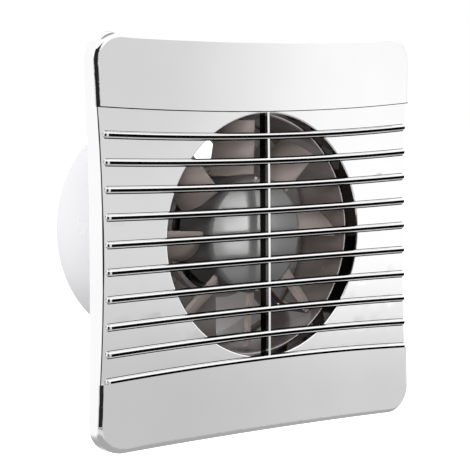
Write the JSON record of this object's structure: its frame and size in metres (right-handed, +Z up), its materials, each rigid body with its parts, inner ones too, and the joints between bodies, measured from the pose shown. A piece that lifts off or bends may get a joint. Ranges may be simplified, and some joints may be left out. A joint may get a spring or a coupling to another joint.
{
  "type": "bathroom extractor fan",
  "caption": "Axial bathroom extractor fan: square louvred chrome cover with a round aperture, bladed impeller and motor in a round duct spigot.",
  "frame": {"origin": "on the duct axis, in the plane of the wall that the housing's rear face lies on", "axes": "+Z up, +X to the right as seen from the room, +Y along the duct axis into the wall; the cover faces -Y"},
  "size_m": [0.1576, 0.0798, 0.1576],
  "materials": {
    "chrome_cover": "polished chrome plating",
    "white_plastic": "glossy",
    "impeller_plastic": "satin gloss",
    "carrier_plastic": "satin",
    "lamination_steel": "stacked laminations",
    "bright_steel": "ground or zinc plated",
    "cast_aluminium": "die cast",
    "copper": "enamelled wire",
    "bronze": "sintered",
    "bobbin_plastic": "moulded",
    "terminal_plastic": "moulded",
    "brass": "turned",
    "grommet_rubber": "matt",
    "brown_insulation": "glossy",
    "blue_insulation": "glossy"
  },
  "bodies": {
    "housing": {"back_housing": "white_plastic", "spigot": "white_plastic", "motor_carrier": "carrier_plastic", "carrier_screws": "bright_steel", "stator_core": "lamination_steel", "coil_bobbins": "bobbin_plastic", "pole_coils": "copper", "shading_rings": "copper", "front_end_shield": "cast_aluminium", "rear_end_shield": "cast_aluminium", "front_bush": "bronze", "rear_bush": "bronze", "motor_through_screws": "bright_steel", "terminal_block": "terminal_plastic", "terminal_screws": "brass", "terminal_cover": "terminal_plastic", "terminal_cover_screw": "bright_steel", "cable_clamp": "terminal_plastic", "cable_clamp_screws": "bright_steel", "cable_grommet": "grommet_rubber", "motor_lead_live": "brown_insulation", "motor_lead_neutral": "blue_insulation"},
    "rotor": {"impeller": "impeller_plastic", "motor_shaft": "bright_steel", "shaft_clip": "bright_steel", "rotor_core": "lamination_steel", "rotor_end_rings": "cast_aluminium", "thrust_washers": "bobbin_plastic"},
    "cover": {"front_cover": "chrome_cover"}
  },
  "joints": [
    {"name": "impeller_spin", "type": "hinge", "parent": "housing", "child": "rotor", "pos_m": [0, 0, 0], "axis": [0, 1, 0], "continuous": true},
    {"name": "cover_pull", "type": "slide", "parent": "housing", "child": "cover", "axis": [0, -1, 0], "range_m": [0, 0.06]}
  ]
}
